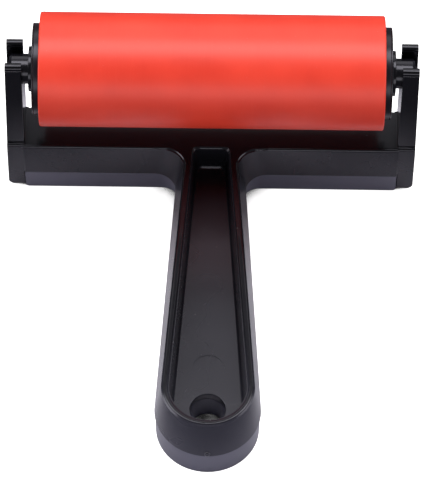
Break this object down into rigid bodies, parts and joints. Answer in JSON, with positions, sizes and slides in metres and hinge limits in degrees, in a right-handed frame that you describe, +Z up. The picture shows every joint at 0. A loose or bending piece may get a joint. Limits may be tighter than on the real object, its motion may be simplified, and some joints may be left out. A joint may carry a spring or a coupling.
{
  "type": "rubber brayer",
  "caption": "Hand brayer with a rubber-covered roller that lifts out of two open jaws, on a T-shaped moulded frame with a recessed handle and a hanging hole.",
  "frame": {"origin": "middle of the overall box, on the surface the brayer rests on when it lies on its back", "axes": "+X along the roller, +Y from the handle's tip to the roller, +Z up, the way the jaws open"},
  "size_m": [0.1208, 0.1234, 0.0654],
  "materials": {
    "frame": "semi-gloss moulded black plastic",
    "base_cover": "semi-gloss moulded black plastic",
    "axle_rod": "plain drawn steel",
    "left_axle_end": "semi-gloss moulded black plastic",
    "right_axle_end": "semi-gloss moulded black plastic",
    "core_tube": "satin black plastic tube",
    "rubber_sleeve": "satin ground rubber, coral red",
    "left_end_cap": "semi-gloss moulded black plastic",
    "right_end_cap": "semi-gloss moulded black plastic"
  },
  "bodies": {
    "frame": {"frame": "frame", "base_cover": "base_cover"},
    "axle": {"axle_rod": "axle_rod", "left_axle_end": "left_axle_end", "right_axle_end": "right_axle_end"},
    "roller": {"core_tube": "core_tube", "rubber_sleeve": "rubber_sleeve", "left_end_cap": "left_end_cap", "right_end_cap": "right_end_cap"}
  },
  "joints": [
    {"name": "roller_lift", "type": "slide", "parent": "frame", "child": "axle", "axis": [0, 0, 1], "range_m": [0, 0.03]},
    {"name": "roller_spin", "type": "hinge", "parent": "axle", "child": "roller", "pos_m": [0, 0.04503, 0.0487], "axis": [1, 0, 0], "continuous": true}
  ]
}
